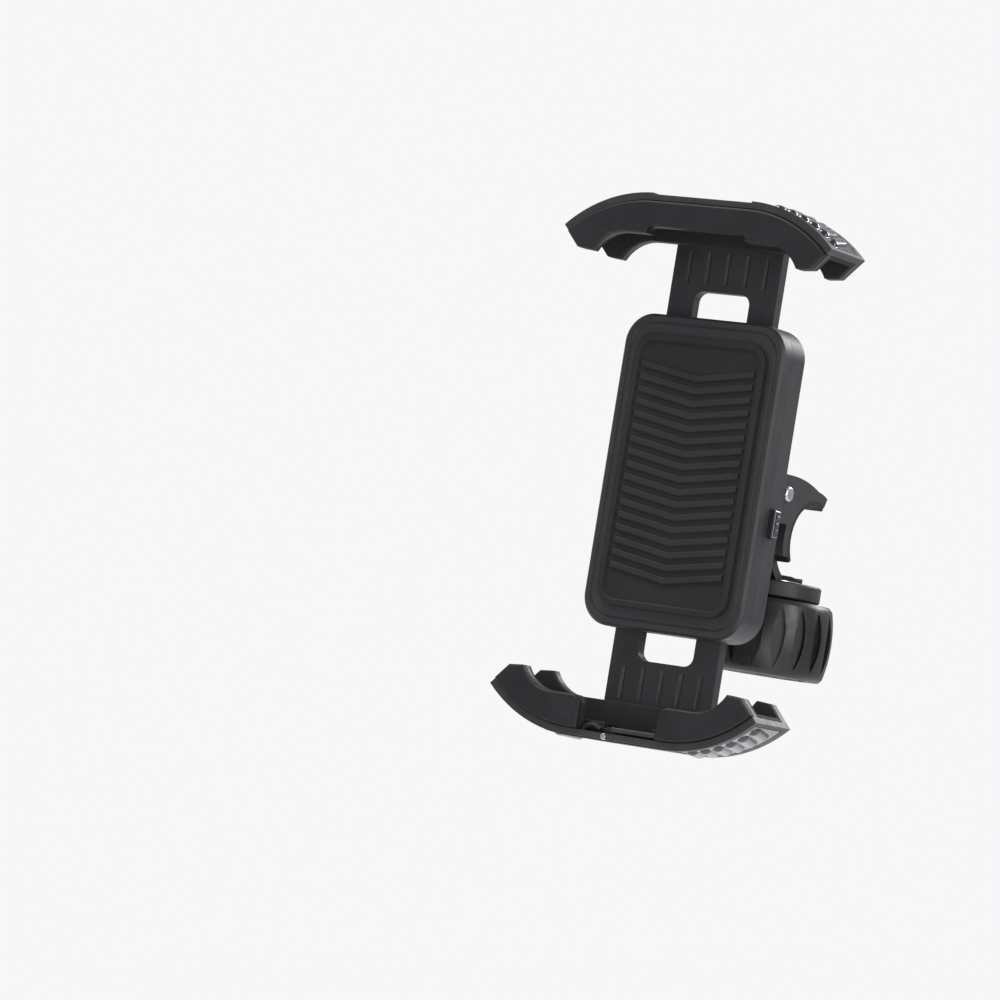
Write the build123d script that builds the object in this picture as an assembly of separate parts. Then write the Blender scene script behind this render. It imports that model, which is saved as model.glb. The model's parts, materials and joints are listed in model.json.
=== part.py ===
from build123d import *
import os
from math import acos, cos, pi, radians, sin

# Handlebar phone mount, in millimetres.
# Origin: the middle of the handlebar bore.  +X runs along the bar, -Y towards the rider, +Z up.
# Two bow-shaped jaws slide up and down in a casing and hold the phone by its short edges; the
# casing turns on a ball, and a hook with a pressing screw and a big knob holds the handlebar.

# ---- handlebar clamp ----
BAR_D = 22.2            # handlebar
BAR_PAD = 1.5           # rubber between the bar and the hook
HOOK_WALL = 3.0
HOOK_W = 19.0           # along the bar
HOOK_TIP = 65.0         # degrees above the rear horizontal where the hook ends
HOOK_FOOT = 250.0       # degrees where the hook runs into the boss
HOOK_PAD_END = 215.0    # degrees where the rubber ends
SPINE_W = 11.0          # the hook narrows below the bar
BOSS_D = 28.0
BOSS_H = 5.0
BOSS_GAP = 1.5          # between the bar and the boss
SPIGOT_D = 14.0         # carries the threaded bush inside the knob
SPIGOT_H = 6.0
BUSH_D = 10.0
BUSH_FLANGE_D = 12.0
BUSH_FLANGE_T = 0.8
SCREW_D = 7.9
TIP_D = 5.0             # screw tip that swivels in the pressing plate
TIP_H = 1.1
PLATE_D = 16.0          # pressing plate
PLATE_T = 1.5
PLATE_RUBBER = 1.0
PLATE_RISE = 0.4        # the rubber cradles the bar by this much
PLATE_TRAVEL = 2.0      # how far the plate backs off

# ---- knob ----
KNOB_D = 36.5           # at its two ends
KNOB_BULGE = 1.3        # added to the radius at mid height
KNOB_H = 22.6
KNOB_GAP = 0.5          # between the boss and the knob
KNOB_FLUTES = 18
FLUTE_DEPTH = 1.5
FLUTE_W = 3.7
KNOB_CAP_D = 27.0
KNOB_CAP_T = 1.6
KNOB_CORE_D = 14.0      # brass core moulded into the knob
KNOB_CORE_H = 11.0

# ---- neck and ball ----
BALL_D = 17.0
STEM_D = 8.0
BALL_DROP = 4.6         # the ball's centre below the hook's outer top
BALL_REACH = 10.5       # from the ball to the neck's front face
NECK_REACH = 6.4        # how far the neck stands out from the hook
NECK_H = 14.6
FLANGE_T = 2.4
TONGUE_W = 12.0
TONGUE_H = 10.6
TONGUE_L = 8.0
PIN_D = 4.6             # cross pin through neck and tongue
PIN_IN = 4.6            # the pin's axis behind the neck's front face
PIN_UP = 1.6            # and above the ball's height
PIN_PROUD = 1.0
CUP_T = 1.45            # friction cup and friction ring
CUP_CLEAR = 0.05
SOCKET_WALL = 2.25
RING_WALL = 2.7         # locking ring round the socket
RING_GRIPS = 16

# ---- casing ----
CASE_W = 54.0
CASE_H = 92.0
FRONT_DEPTH = 5.4
BACK_DEPTH = 8.2
BALL_SINK = 2.0         # how far the cup reaches into the back cover
CASE_WALL = 2.0
CASE_CORNER = 9.0
CASE_SCREW_D = 3.0
CASE_SCREW_IN = 5.0     # screw axes from the casing's sides
CASE_HEAD_D = 5.4
CASE_HEAD_H = 1.4
CASE_BOSS_D = 5.2
PAD_T = 1.55            # rubber pad behind the phone
PAD_SIDE = 5.0          # casing left bare beside the pad
PAD_END = 6.0           # and above it

# ---- arms, rack and pinion ----
ARM_T = 3.5
MODULE = 1.25
TEETH = 12
ARM_BACKLASH = 0.12
ARM_BEHIND = 0.8        # arms behind the covers' parting plane
ARM_ROOM = 7.0          # room beside the arms for the brake lever
LEG_W = 8.5             # guide leg
RACK_SPARE = 9.0        # rack past the last tooth in mesh
ARM_SPARE = 12.0        # strip past the pinion at full travel
ARM_GAP = 1.0           # between the two arms' legs when closed
NECK_GAP = 0.4          # between the casing and the arm's fillets when closed
ARM_FILLET = 3.0
PLATE_IN = 2.8          # jaw plate's end below the jaw's outer face
SERRATION = 1.8
ARM_CLEAR = 0.2
PINION_PIN_D = 4.0
SPRING_D = 3.2
SPRING_IN = 8.0         # casing post from the casing's end
POST_IN = 3.0           # arm post from the strip's end
POST_D = 2.2
JAW_IN = 5.0            # each jaw from the closed-on-phone position, inward
JAW_OUT = 10.0          # and outward

# ---- release button and brake lever ----
LEVER_OFF = 3.3         # lever's axis outside the arm
LEVER_T = 1.9
LEVER_HALF = 11.5
LEVER_HUB_D = 4.4
LEVER_PIN_D = 2.4
SHOE_GAP = 0.1
SHOE_L = 4.5
BUTTON_IN = 1.3         # button's middle from the lever's end
BUTTON_W = 4.0
BUTTON_H = 8.0
BUTTON_PROUD = 2.0
BUTTON_TRAVEL = 1.5

# ---- jaws ----
JAW_HALF = 79.3         # outer face from the middle of the casing
JAW_DEPTH = 21.1        # front to back
BOW_FLAT = 16.0         # half of the straight middle
BOW_R = 42.0
BOW_END = 43.6          # degrees of bend to each end
END_LEN = 8.6           # width of the lip at its end
LIP = 12.0              # width of the lip at its middle
TOE_W = 4.5             # flat at the lip's end
TOE_DROP = 0.4
TIP_RUN = 10.5          # curved stretch of the lip's inner edge
SHELL_WALL = 2.2
LIP_T = 2.5
FRAME_T = 1.6           # front frame behind the lip plate
RIM_BACK = 1.1          # the shell's rim stops this far behind the lip plate's face
RIM_STEP = 0.45         # the rim's middle stretch is lower
RIM_STEP_Y = 3.4
PLATE_GAP = 0.25
LINER_T = 1.2
LINER_FLOOR = 1.5
BUMP_H = 1.75
NOTCH_HALF = 16.5
NOTCH = 2.2
PORT_HALF = 13.3        # gap between the two lower lips
LIP_CORNER = 3.0
GRIP_FROM = 3.0         # degrees
GRIP_TO = 41.5
GRIP_RIB_END = 4.8      # degrees from the panel's end to its first rib
GRIP_DEPTH = 1.0
GRIP_FRONT = 3.5        # panel's edge from the jaw's front
GRIP_BACK = 3.0
RIB_COUNT = 6
RIB_R = 2.4
RIB_SINK = 1.55         # the rib's axis below the outer face
RIB_TILT = 14.0
JAW_SCREW_D = 3.0
JAW_HEAD_D = 5.2
JAW_HEAD_H = 1.3
JAW_SCREW_SIDE = 7.0    # from the arm's edge
JAW_SCREW_DOWN = 7.8    # from the jaw's outer face
LIP_SCREW_D = 2.0
LIP_SCREW_SIDE = 3.5    # from the notch's edge and from the lip's end

FIT = 0.15              # general clearance of a loose fit
RUN = 0.08              # radial clearance of a turning fit

bar_r = BAR_D / 2
hook_in = bar_r + BAR_PAD
hook_out = hook_in + HOOK_WALL
boss_top = -bar_r - BOSS_GAP
boss_bottom = boss_top - BOSS_H
plate_top = -bar_r
plate_bottom = plate_top - PLATE_RUBBER - PLATE_T
pocket_bottom = plate_bottom - PLATE_TRAVEL
spigot_bottom = boss_bottom - SPIGOT_H

knob_top = boss_bottom - KNOB_GAP
knob_bottom = knob_top - KNOB_H
knob_r = KNOB_D / 2

ball_r = BALL_D / 2
cup_r = ball_r + CUP_CLEAR + CUP_T
seat_r = cup_r + CUP_CLEAR
socket_boss_d = 2 * (seat_r + SOCKET_WALL)
ring_d = socket_boss_d + 2 * RING_WALL
ring_front = 4.0 - ball_r
ring_rear = ball_r - 2.0
neck_front = -hook_out - NECK_REACH
ball_y = neck_front - BALL_REACH - ball_r
ball_z = hook_out - BALL_DROP
neck_top = ball_z + NECK_H / 2
neck_bottom = ball_z - NECK_H / 2
pin_y = neck_front + PIN_IN
pin_z = ball_z + PIN_UP

case_back = ball_y - cup_r + BALL_SINK
case_split = case_back - BACK_DEPTH
case_front = case_split - FRONT_DEPTH
case_in_front = case_front + CASE_WALL
case_in_back = case_back - CASE_WALL
case_screw_x = CASE_W / 2 - CASE_SCREW_IN
case_screw_z = CASE_H / 2 - CASE_SCREW_IN
pad_w = CASE_W - 2 * PAD_SIDE
pad_h = CASE_H - 2 * PAD_END

jaw_back = case_split + ARM_BEHIND
jaw_front = jaw_back - JAW_DEPTH
arm_front = jaw_back
arm_back = jaw_back + ARM_T
arm_edge = CASE_W / 2 - CASE_WALL - ARM_ROOM
arm_end = JAW_OUT + ARM_SPARE
arm_neck = CASE_H / 2 + JAW_IN + ARM_FILLET + NECK_GAP
arm_plate_top = JAW_HALF - PLATE_IN
guide_end = arm_end + 2 * JAW_IN + ARM_GAP
guide_in = arm_edge - LEG_W
pitch_r = MODULE * TEETH / 2
rack_tip = pitch_r - MODULE + ARM_BACKLASH
rack_root = pitch_r + 1.25 * MODULE + ARM_BACKLASH
rack_from = 1.0 - JAW_OUT - RACK_SPARE
rack_to = JAW_IN + RACK_SPARE
spring_x = (rack_root + arm_edge) / 2
spring_near = arm_end - POST_IN
spring_far = CASE_H / 2 - SPRING_IN
lever_x = arm_edge + LEVER_OFF
button_mid = BUTTON_IN - LEVER_HALF

lip_back = jaw_front + LIP_T
frame_back = lip_back + FRAME_T
back_lip_front = jaw_back - LIP_T
bow_z = JAW_HALF - BOW_R
toe_x = BOW_FLAT + (BOW_R - END_LEN) * sin(radians(BOW_END))
toe_z = bow_z + (BOW_R - END_LEN) * cos(radians(BOW_END))
tip_x = toe_x - TOE_W
tip_z = toe_z - TOE_DROP
lip_flat = tip_x - TIP_RUN
grip_y = (jaw_front + GRIP_FRONT, jaw_back - GRIP_BACK)
jaw_screw_x = arm_edge - JAW_SCREW_SIDE
jaw_screw_z = JAW_HALF - JAW_SCREW_DOWN
lip_screw_at = (NOTCH_HALF + LIP_SCREW_SIDE, tip_x - LIP_SCREW_SIDE)

parts = {}


def block(x, y, z):
    """A box from its three (low, high) pairs."""
    size = Box(x[1] - x[0], y[1] - y[0], z[1] - z[0])
    return Pos((x[0] + x[1]) / 2, (y[0] + y[1]) / 2, (z[0] + z[1]) / 2) * size


def rod_z(r, x, y, z0, z1):
    return Pos(x, y, (z0 + z1) / 2) * Cylinder(r, z1 - z0)


def rod_y(r, x, z, y0, y1):
    return Pos(x, (y0 + y1) / 2, z) * Rot(X=90) * Cylinder(r, y1 - y0)


def rod_x(r, y, z, x0, x1):
    return Pos((x0 + x1) / 2, y, z) * Rot(Y=90) * Cylinder(r, x1 - x0)


def slab(face, y0, y1):
    """A face drawn in (x, z), made solid between two y planes."""
    solid = extrude(face, amount=y1 - y0)
    return Pos(0, y1, 0) * Rot(X=90) * solid


def side(face, x0, x1):
    """A face drawn in (y, z), made solid between two x planes."""
    solid = extrude(face, amount=x1 - x0)
    return Pos(x0, 0, 0) * Rot(Z=90) * Rot(X=90) * solid


def polar(r, degrees):
    return (r * cos(radians(degrees)), r * sin(radians(degrees)))


def arc_band(r0, r1, a0, a1):
    """A flat ring piece between two radii and two angles."""
    mid = (a0 + a1) / 2
    edges = [
        ThreePointArc(polar(r1, a0), polar(r1, mid), polar(r1, a1)),
        Line(polar(r1, a1), polar(r0, a1)),
        ThreePointArc(polar(r0, a1), polar(r0, mid), polar(r0, a0)),
        Line(polar(r0, a0), polar(r1, a0)),
    ]
    return make_face(edges)


def about_ball(profile):
    """Turn a profile drawn in (axial, radial) from the ball's centre into a solid of revolution."""
    solid = revolve(profile, axis=Axis.X)
    return Pos(0, ball_y, ball_z) * Rot(Z=90) * solid


def raise_to_casing(shape):
    """Casing, arms and jaws are drawn about the casing's middle, at the ball's height."""
    return Pos(0, 0, ball_z) * shape


def lower_of(shape):
    """The lower jaw's copy of an upper jaw piece."""
    return Rot(Y=180) * shape


def both_sides(shape):
    return [shape, mirror(shape, about=Plane.YZ)]


# ---------------- handlebar clamp ----------------
def clamp_body():
    hook = side(arc_band(hook_in, hook_out, HOOK_TIP, HOOK_FOOT), -HOOK_W / 2, HOOK_W / 2)
    top_end = polar(hook_out, 86)
    neck_face = make_face([
        Line((neck_front, neck_bottom), (neck_front, neck_top)),
        Line((neck_front, neck_top), (-hook_out + 1, neck_top)),
        ThreePointArc((-hook_out + 1, neck_top), (-6.5, (neck_top + hook_out) / 2 + 0.6), top_end),
        Line(top_end, (0, 0)),
        Line((0, 0), (-hook_out + 0.6, neck_bottom)),
        Line((-hook_out + 0.6, neck_bottom), (neck_front, neck_bottom)),
    ])
    neck = side(neck_face, -HOOK_W / 2, HOOK_W / 2) - rod_x(hook_in, 0, 0, -HOOK_W, HOOK_W)
    body = hook + neck
    waist = block((SPINE_W / 2, HOOK_W), (-hook_out - 1, -3), (boss_top - 1, -bar_r / 2))
    for cut in both_sides(waist):
        body -= cut
    boss = rod_z(BOSS_D / 2, 0, 0, boss_bottom, boss_top)
    boss = chamfer(boss.edges().filter_by(GeomType.CIRCLE), 0.5)
    body += boss
    body += rod_z(SPIGOT_D / 2, 0, 0, spigot_bottom, boss_bottom + 1)
    body -= rod_z(PLATE_D / 2 + 2 * FIT, 0, 0, pocket_bottom - FIT, boss_top + 5)
    body -= rod_z(BUSH_FLANGE_D / 2, 0, 0, pocket_bottom - FIT - BUSH_FLANGE_T, boss_top)
    body -= rod_z(BUSH_D / 2, 0, 0, spigot_bottom - 1, boss_top)
    pocket_y = (neck_front - 1, neck_front + TONGUE_L)
    pocket_z = (ball_z - TONGUE_H / 2, ball_z + TONGUE_H / 2)
    body -= block((-TONGUE_W / 2, TONGUE_W / 2), pocket_y, pocket_z)
    body -= rod_x(PIN_D / 2, pin_y, pin_z, -HOOK_W, HOOK_W)
    return body


def clamp_rubber():
    face = arc_band(bar_r, hook_in, HOOK_TIP, HOOK_PAD_END)
    return side(face, -HOOK_W / 2, HOOK_W / 2)


def thread_bush():
    top = pocket_bottom - FIT
    bush = rod_z(BUSH_D / 2, 0, 0, spigot_bottom, top)
    bush += rod_z(BUSH_FLANGE_D / 2, 0, 0, top - BUSH_FLANGE_T, top)
    return bush - rod_z(SCREW_D / 2 + RUN, 0, 0, spigot_bottom - 1, top + 1)


def pressing_screw():
    shoulder = plate_bottom - 0.1
    screw = rod_z(SCREW_D / 2, 0, 0, knob_bottom + KNOB_CAP_T + 1.5, shoulder)
    return screw + rod_z(TIP_D / 2, 0, 0, shoulder, plate_bottom + TIP_H)


def pressing_plate():
    plate = rod_z(PLATE_D / 2, 0, 0, plate_bottom, plate_bottom + PLATE_T)
    return plate - rod_z(TIP_D / 2 + RUN, 0, 0, plate_bottom - 1, plate_bottom + TIP_H + 0.1)


def plate_rubber():
    pad = rod_z(PLATE_D / 2, 0, 0, plate_bottom + PLATE_T, plate_top + PLATE_RISE)
    return pad - rod_x(bar_r, 0, 0, -PLATE_D, PLATE_D)


# ---------------- knob ----------------
def knob():
    mid = (knob_top + knob_bottom) / 2
    outline = make_face([
        Line((0, knob_bottom), (knob_r - 1, knob_bottom)),
        Line((knob_r - 1, knob_bottom), (knob_r, knob_bottom + 1)),
        ThreePointArc((knob_r, knob_bottom + 1), (knob_r + KNOB_BULGE, mid), (knob_r, knob_top - 1)),
        Line((knob_r, knob_top - 1), (knob_r - 1, knob_top)),
        Line((knob_r - 1, knob_top), (0, knob_top)),
        Line((0, knob_top), (0, knob_bottom)),
    ])
    body = revolve(Plane.XZ * outline, axis=Axis.Z)
    half_h = KNOB_H / 2 - 2.2
    reach = knob_r + KNOB_BULGE
    sink = reach - FLUTE_DEPTH
    lens_r = (half_h ** 2 + (FLUTE_W / 2) ** 2) / FLUTE_W
    lens = make_face([
        ThreePointArc((0, half_h), (FLUTE_W / 2, 0), (0, -half_h)),
        ThreePointArc((0, -half_h), (-FLUTE_W / 2, 0), (0, half_h)),
    ])
    flute = Pos(sink, 0, mid) * Rot(Y=90) * Rot(Z=90) * extrude(lens, amount=lens_r / 4)
    for turn in range(KNOB_FLUTES):
        body -= Rot(Z=(turn + 0.5) * 360 / KNOB_FLUTES) * flute
    body -= rod_z(SPIGOT_D / 2 + 0.6, 0, 0, spigot_bottom - PLATE_TRAVEL - 1, knob_top + 1)
    body -= rod_z(SCREW_D / 2, 0, 0, knob_bottom - 1, knob_top)
    core_bottom = knob_bottom + KNOB_CAP_T
    body -= rod_z(KNOB_CORE_D / 2, 0, 0, core_bottom, core_bottom + KNOB_CORE_H)
    return body - rod_z(KNOB_CAP_D / 2, 0, 0, knob_bottom - 1, core_bottom)


def knob_core():
    low = knob_bottom + KNOB_CAP_T
    core = rod_z(KNOB_CORE_D / 2, 0, 0, low, low + KNOB_CORE_H)
    return core - rod_z(SCREW_D / 2, 0, 0, low + 1.5, low + KNOB_CORE_H + 1)


def knob_cap():
    cap = rod_z(KNOB_CAP_D / 2, 0, 0, knob_bottom + 0.3, knob_bottom + KNOB_CAP_T)
    return fillet(cap.edges().group_by(Axis.Z)[0], 0.5)


# ---------------- neck and ball joint ----------------
def ball_stem():
    ball = Pos(0, ball_y, ball_z) * Sphere(ball_r)
    stem = rod_y(STEM_D / 2, 0, ball_z, ball_y + ball_r / 2, neck_front - FLANGE_T / 2)
    half = HOOK_W / 2
    flange = block((-half, half), (neck_front - FLANGE_T, neck_front), (neck_bottom, neck_top))
    flange = fillet(flange.edges().filter_by(Axis.Y), 2.0)
    tongue_y = (neck_front, neck_front + TONGUE_L - FIT)
    tongue_z = (ball_z - TONGUE_H / 2 + FIT, ball_z + TONGUE_H / 2 - FIT)
    tongue = block((-TONGUE_W / 2 + FIT, TONGUE_W / 2 - FIT), tongue_y, tongue_z)
    body = ball + stem + flange + tongue
    return body - rod_x(PIN_D / 2, pin_y, pin_z, -HOOK_W, HOOK_W)


def neck_pin():
    end = HOOK_W / 2 + PIN_PROUD
    pin = rod_x(PIN_D / 2, pin_y, pin_z, -end, end)
    return fillet(pin.edges().filter_by(GeomType.CIRCLE), PIN_PROUD * 0.8)


def friction_ring():
    """Behind the ball: angles are from the axis that points back to the handlebar."""
    return about_ball(arc_band(ball_r + CUP_CLEAR, cup_r, 60, 85))


def friction_cup():
    return about_ball(arc_band(ball_r + CUP_CLEAR, cup_r, 110, 162))


def locking_ring():
    bore = socket_boss_d / 2 + RUN
    outer = ring_d / 2
    profile = make_face(Polyline(
        (ring_front, bore), (ring_front, outer - 1), (ring_front + 1, outer),
        (ring_rear - 1.5, outer), (ring_rear, outer - 1.5), (ring_rear, 0), (0, 0),
        (0, bore), (ring_front, bore)))
    ring = about_ball(profile) - Pos(0, ball_y, ball_z) * Sphere(seat_r)
    mouth = make_face(Polyline((0, 0), polar(20, 58), (20, 0), (0, 0)))
    ring -= about_ball(mouth)
    for grip in range(RING_GRIPS):
        x, z = polar(outer + 1.2, grip * 360 / RING_GRIPS)
        ring -= rod_y(1.9, x, ball_z + z, ball_y + ring_front - 1, ball_y + ring_rear + 1)
    return ring


# ---------------- casing ----------------
def rounded_plate(width, height, corner, y0, y1):
    return slab(RectangleRounded(width, height, corner), y0, y1)


def case_posts(y0, y1, d):
    posts = []
    for x in (-case_screw_x, case_screw_x):
        for z in (-case_screw_z, case_screw_z):
            posts.append(rod_y(d / 2, x, z, y0, y1))
    return posts


def front_cover():
    inner = (CASE_W - 2 * CASE_WALL, CASE_H - 2 * CASE_WALL, CASE_CORNER - CASE_WALL)
    cover = rounded_plate(CASE_W, CASE_H, CASE_CORNER, case_front, case_split)
    rim = [e for e in cover.edges() if abs(e.center().Y - case_front) < 0.01]
    cover = chamfer(rim, 0.8)
    cover -= rounded_plate(*inner, case_in_front, case_split + 1)
    for post in case_posts(case_in_front - 0.5, case_split, CASE_BOSS_D):
        cover += post
    gear_post = rod_y(PINION_PIN_D / 2 + 2, 0, 0, case_in_front - 0.5, arm_front - 0.4)
    lever_post = rod_y(LEVER_HUB_D / 2 - 0.2, lever_x, 0, case_in_front - 0.5, case_split)
    cover += gear_post
    cover += lever_post
    for x, z in ((spring_x, -spring_far), (-spring_x, spring_far)):
        cover += rod_y(POST_D / 2, x, z, case_in_front - 0.5, case_split)
    cover -= rod_y(PINION_PIN_D / 2, 0, 0, case_in_front, arm_front)
    cover -= rod_y(LEVER_PIN_D / 2, lever_x, 0, case_in_front, arm_front)
    for hole in case_posts(case_in_front, case_split + 1, CASE_SCREW_D):
        cover -= hole
    return raise_to_casing(cover)


def back_cover():
    inner = (CASE_W - 2 * CASE_WALL, CASE_H - 2 * CASE_WALL, CASE_CORNER - CASE_WALL)
    cover = rounded_plate(CASE_W, CASE_H, CASE_CORNER, case_split, case_back)
    rim = [e for e in cover.edges() if abs(e.center().Y - case_back) < 0.01]
    cover = fillet(rim, 1.6)
    cover -= rounded_plate(*inner, case_split - 1, case_in_back)
    for post in case_posts(case_split, case_in_back + 0.5, CASE_BOSS_D):
        cover += post
    boss = rod_y(socket_boss_d / 2, 0, 0, case_in_back - 1.4, ball_y - 0.3)
    cover += boss
    cover -= Pos(0, ball_y, 0) * Sphere(seat_r)
    cover -= rod_y(socket_boss_d / 2, 0, 0, ball_y - 0.3, ball_y + 20)
    slot_y = (case_split - 1, arm_back + ARM_CLEAR)
    slot_z = (CASE_H / 2 - 4, CASE_H / 2 + 1)
    rack_slot = block((rack_tip - ARM_CLEAR, arm_edge + ARM_CLEAR), slot_y, slot_z)
    guide_slot = block((-arm_edge - ARM_CLEAR, -guide_in + ARM_CLEAR), slot_y, slot_z)
    for slot in (rack_slot, guide_slot):
        cover -= slot
        cover -= lower_of(slot)
    cover -= block((CASE_W / 2 - 4, CASE_W / 2 + 1), button_y(FIT), button_z(FIT))
    for hole in case_posts(case_split - 1, case_back + 1, CASE_SCREW_D):
        cover -= hole
    for seat in case_posts(case_back - CASE_HEAD_H - FIT, case_back + 1, CASE_HEAD_D + FIT):
        cover -= seat
    cover -= rod_y(LEVER_PIN_D / 2, lever_x, 0, case_split, case_in_back + 0.8)
    return raise_to_casing(cover)


def front_pad():
    pad = rounded_plate(pad_w, pad_h, 6, case_front - PAD_T, case_front)
    rim = [e for e in pad.edges() if abs(e.center().Y - (case_front - PAD_T)) < 0.01]
    return raise_to_casing(chamfer(rim, 0.6))


def case_screws():
    screws = []
    for x in (-case_screw_x, case_screw_x):
        for z in (-case_screw_z, case_screw_z):
            seat = case_back - CASE_HEAD_H - FIT
            shank = rod_y(CASE_SCREW_D / 2, x, z, case_in_front + 0.4, seat)
            head = rod_y(CASE_HEAD_D / 2, x, z, seat, seat + CASE_HEAD_H)
            screws.append(raise_to_casing(shank + head))
    return screws


# ---------------- arms, rack and pinion ----------------
def rack_tooth(z):
    """One rack tooth that points at the pinion, its pitch width on the pitch line."""
    half = pi * MODULE / 4 - 0.08
    slope = 0.364 * MODULE
    pitch_x = pitch_r + ARM_BACKLASH
    return make_face(Polyline(
        (rack_root + 0.3, z - half - 1.45 * slope), (pitch_x, z - half),
        (rack_tip, z - half + slope), (rack_tip, z + half - slope), (pitch_x, z + half),
        (rack_root + 0.3, z + half + 1.45 * slope), (rack_root + 0.3, z - half - 1.45 * slope)))


def slide_arm():
    outline = make_face(Polyline(
        (rack_root, -arm_end), (arm_edge, -arm_end), (arm_edge, arm_plate_top),
        (-arm_edge, arm_plate_top), (-arm_edge, guide_end), (-guide_in, guide_end),
        (-guide_in, arm_neck), (rack_root, arm_neck), (rack_root, -arm_end)))
    arm = slab(outline, arm_front, arm_back)
    corners = [e for e in arm.edges().filter_by(Axis.Y) if e.center().Z > arm_neck - 1]
    arm = fillet(corners, ARM_FILLET)
    pitch = pi * MODULE
    count = int((rack_to - rack_from) / pitch)
    start = -int(-rack_from / pitch)
    for tooth in range(count):
        arm += slab(rack_tooth((start + tooth) * pitch), arm_front, arm_back)
    first = LEVER_HALF - SHOE_L - JAW_OUT - SERRATION / 2
    for notch in range(int((SHOE_L + JAW_IN + JAW_OUT + SERRATION) / SERRATION)):
        z = first + notch * SERRATION
        arm -= block((arm_edge - 0.4, arm_edge + 1), (arm_front - 1, arm_back + 1), (z, z + 0.8))
    arm += rod_y(POST_D / 2, spring_x, -spring_near, case_split - 2.2, arm_front + 1)
    for x in (-jaw_screw_x, jaw_screw_x):
        arm -= rod_y(JAW_SCREW_D / 2, x, jaw_screw_z, arm_front - 1, arm_back + 1)
        arm -= rod_y(JAW_HEAD_D / 2 + FIT, x, jaw_screw_z, arm_back - JAW_HEAD_H - FIT, arm_back + 1)
    return arm


def pinion():
    """A spur gear drawn from straight-sided teeth that thin towards their tips."""
    pitch_angle = 360 / TEETH
    root_r = pitch_r - 1.25 * MODULE
    tip_r = pitch_r + MODULE
    half_pitch = pitch_angle / 4 - 0.7
    body = slab(Circle(root_r), arm_front, arm_back - 0.2)
    tooth = make_face(Polyline(
        polar(root_r - 0.5, -half_pitch * 1.5), polar(pitch_r, -half_pitch), polar(tip_r, -half_pitch * 0.42),
        polar(tip_r, half_pitch * 0.42), polar(pitch_r, half_pitch), polar(root_r - 0.5, half_pitch * 1.5),
        polar(root_r - 0.5, -half_pitch * 1.5)))
    for turn in range(TEETH):
        angle = (turn + 0.5) * pitch_angle
        body += Rot(Y=angle) * slab(tooth, arm_front, arm_back - 0.2)
    body -= rod_y(PINION_PIN_D / 2 + RUN, 0, 0, arm_front - 1, arm_back + 1)
    return raise_to_casing(body)


def pinion_pin():
    return raise_to_casing(rod_y(PINION_PIN_D / 2, 0, 0, case_in_front, arm_back - 0.1))


def jaw_spring():
    """The upper arm's closing spring, as the closed outer shape of its coils, with two end eyes."""
    y = case_split - SPRING_D / 2 - 0.1
    eye_r = POST_D / 2 + 0.55
    low = -spring_far + eye_r
    high = -spring_near - eye_r
    coil = rod_z(SPRING_D / 2, spring_x, y, low, high)
    eye = Rot(X=90) * Torus(eye_r, 0.3)
    coil += Pos(spring_x, y, -spring_far) * eye
    coil += Pos(spring_x, y, -spring_near) * eye
    return coil


# ---------------- release button and brake lever ----------------
def button_y(gap):
    mid = (arm_front + arm_back) / 2
    return (mid - BUTTON_W / 2 + 0.3 - gap, mid + BUTTON_W / 2 - 0.3 + gap)


def button_z(gap):
    return (button_mid - BUTTON_H / 2 - gap, button_mid + BUTTON_H / 2 + gap)


def release_button():
    inner_wall = CASE_W / 2 - CASE_WALL
    key = block((inner_wall - 0.5, CASE_W / 2 + BUTTON_PROUD), button_y(0), button_z(0))
    outer = key.faces().sort_by(Axis.X)[-1]
    key = fillet(outer.edges(), 0.7)
    collar_y = (arm_front + 0.1, arm_back - 0.1)
    collar = block((inner_wall - 1.1, inner_wall - 0.1), collar_y, button_z(1.2))
    nose_z = (button_mid - 0.6, button_mid + 0.6)
    nose = block((lever_x + LEVER_T / 2 + 0.05, inner_wall - 0.5), (arm_front + 0.8, arm_back - 0.8), nose_z)
    return raise_to_casing(key + collar + nose)


def brake_lever():
    y = (arm_front + 0.2, arm_back - 0.2)
    x = (lever_x - LEVER_T / 2, lever_x + LEVER_T / 2)
    lever = block(x, y, (-LEVER_HALF, LEVER_HALF))
    lever += rod_y(LEVER_HUB_D / 2, lever_x, 0, *y)
    lever += block((arm_edge + SHOE_GAP, lever_x), y, (LEVER_HALF - SHOE_L, LEVER_HALF))
    return raise_to_casing(lever - rod_y(LEVER_PIN_D / 2 + RUN, lever_x, 0, y[0] - 1, y[1] + 1))


def lever_pin():
    return raise_to_casing(rod_y(LEVER_PIN_D / 2, lever_x, 0, case_in_front, case_in_back + 0.8))


def lever_spring():
    """A torsion spring, as the closed outer shape of its coils and its two legs."""
    inner = LEVER_HUB_D / 2
    y0 = case_split - 2.2
    y1 = case_split - 0.1
    coil = rod_y(inner + 0.6, lever_x, 0, y0, y1) - rod_y(inner, lever_x, 0, y0 - 1, y1 + 1)
    coil += block((lever_x + inner - 0.1, lever_x + inner + 0.4), (y1 - 0.5, y1), (0, 8))
    coil += block((lever_x + inner - 0.1, lever_x + inner + 0.4), (y0, y0 + 0.5), (-9, 0))
    return raise_to_casing(coil)


# ---------------- jaws ----------------
def bow_point(inset, degrees):
    r = BOW_R - inset
    return (BOW_FLAT + r * sin(radians(degrees)), bow_z + r * cos(radians(degrees)))


def flip(point):
    return (-point[0], point[1])


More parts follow.
